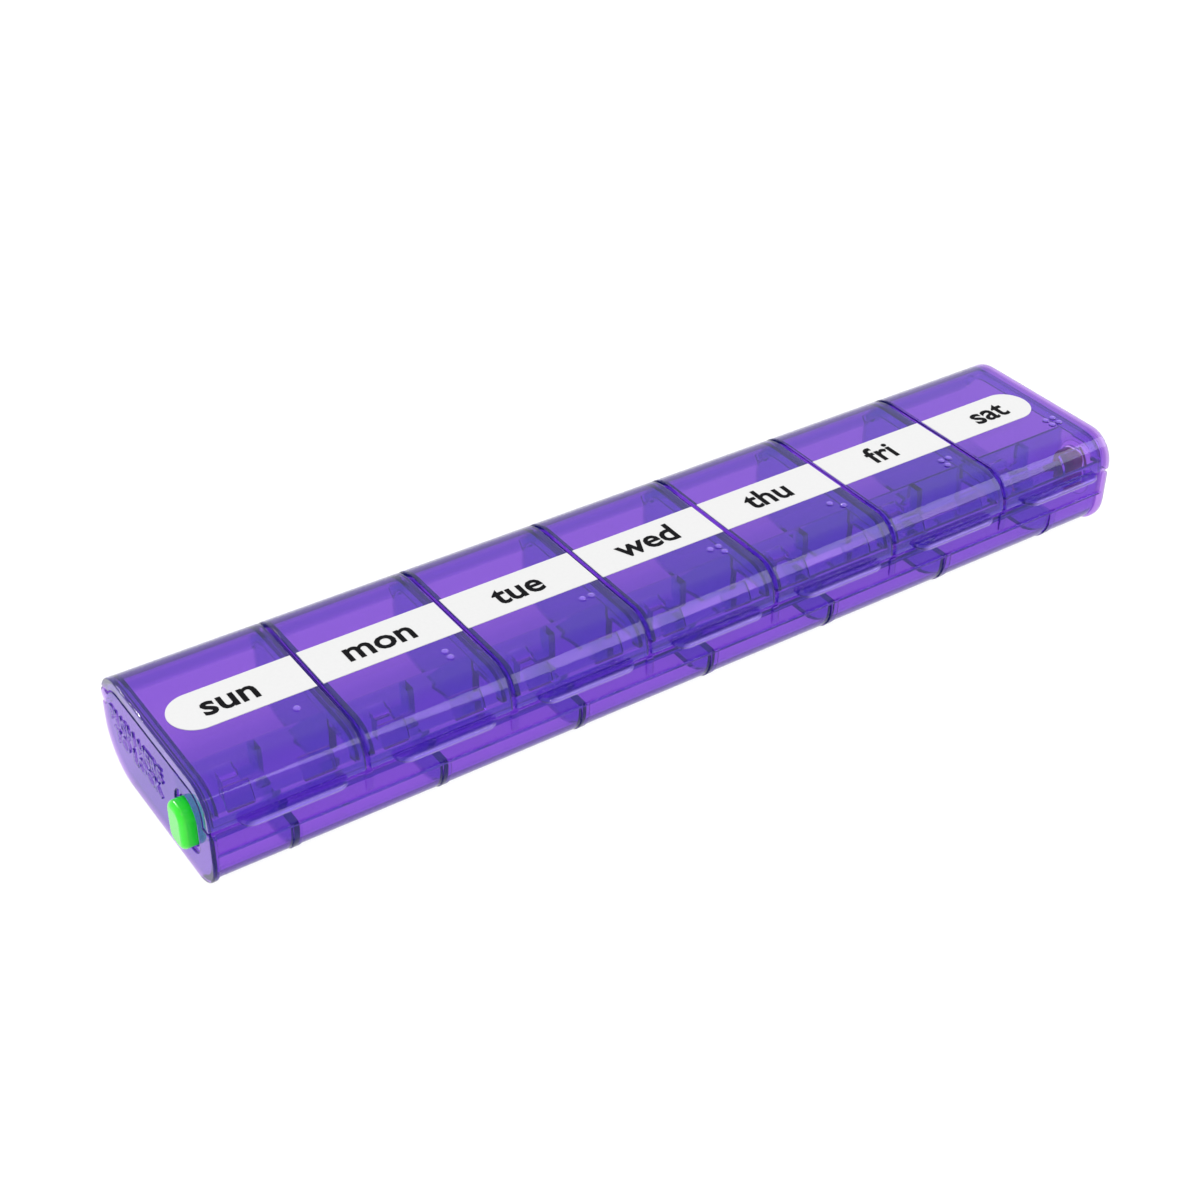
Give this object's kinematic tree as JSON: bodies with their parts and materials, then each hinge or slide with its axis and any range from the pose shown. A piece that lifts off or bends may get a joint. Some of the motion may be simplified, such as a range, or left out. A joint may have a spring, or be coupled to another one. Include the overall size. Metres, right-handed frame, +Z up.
{
  "type": "travel pill organizer",
  "caption": "Long translucent pill organizer with a hinged, day-labelled lid on each compartment and a sliding lock bar with push buttons at its ends.",
  "frame": {"origin": "middle of the flat underside", "axes": "+X along the length towards the Saturday end, +Y towards the lid hinges, +Z up"},
  "size_m": [0.2205, 0.0501, 0.0238],
  "materials": {
    "tinted_shell": "polished, see-through purple",
    "label_white": "smooth printed film",
    "button_green": "smooth bright green",
    "button_red": "smooth bright red"
  },
  "bodies": {
    "tray": {"tray_trough": "tinted_shell", "end_plate_left": "tinted_shell", "end_plate_right": "tinted_shell", "divider_sun_mon": "tinted_shell", "divider_mon_tue": "tinted_shell", "divider_tue_wed": "tinted_shell", "divider_wed_thu": "tinted_shell", "divider_thu_fri": "tinted_shell", "divider_fri_sat": "tinted_shell"},
    "lid_sun": {"lid_sun": "tinted_shell", "day_label_sun": "label_white"},
    "lid_mon": {"lid_mon": "tinted_shell", "day_label_mon": "label_white"},
    "lid_tue": {"lid_tue": "tinted_shell", "day_label_tue": "label_white"},
    "lid_wed": {"lid_wed": "tinted_shell", "day_label_wed": "label_white"},
    "lid_thu": {"lid_thu": "tinted_shell", "day_label_thu": "label_white"},
    "lid_fri": {"lid_fri": "tinted_shell", "day_label_fri": "label_white"},
    "lid_sat": {"lid_sat": "tinted_shell", "day_label_sat": "label_white"},
    "lock": {"lock_bar": "tinted_shell", "lock_button": "button_green", "unlock_button": "button_red"}
  },
  "joints": [
    {"name": "lid_sun_hinge", "type": "hinge", "parent": "tray", "child": "lid_sun", "pos_m": [-0.093, 0.0216, 0.0166], "axis": [-1, 0, 0], "range_deg": [0, 115]},
    {"name": "lid_mon_hinge", "type": "hinge", "parent": "tray", "child": "lid_mon", "pos_m": [-0.062, 0.0216, 0.0166], "axis": [-1, 0, 0], "range_deg": [0, 115]},
    {"name": "lid_tue_hinge", "type": "hinge", "parent": "tray", "child": "lid_tue", "pos_m": [-0.031, 0.0216, 0.0166], "axis": [-1, 0, 0], "range_deg": [0, 115]},
    {"name": "lid_wed_hinge", "type": "hinge", "parent": "tray", "child": "lid_wed", "pos_m": [0, 0.0216, 0.0166], "axis": [-1, 0, 0], "range_deg": [0, 115]},
    {"name": "lid_thu_hinge", "type": "hinge", "parent": "tray", "child": "lid_thu", "pos_m": [0.031, 0.0216, 0.0166], "axis": [-1, 0, 0], "range_deg": [0, 115]},
    {"name": "lid_fri_hinge", "type": "hinge", "parent": "tray", "child": "lid_fri", "pos_m": [0.062, 0.0216, 0.0166], "axis": [-1, 0, 0], "range_deg": [0, 115]},
    {"name": "lid_sat_hinge", "type": "hinge", "parent": "tray", "child": "lid_sat", "pos_m": [0.093, 0.0216, 0.0166], "axis": [-1, 0, 0], "range_deg": [0, 115]},
    {"name": "lock_slide", "type": "slide", "parent": "tray", "child": "lock", "axis": [1, 0, 0], "range_m": [0, 0.003]}
  ]
}
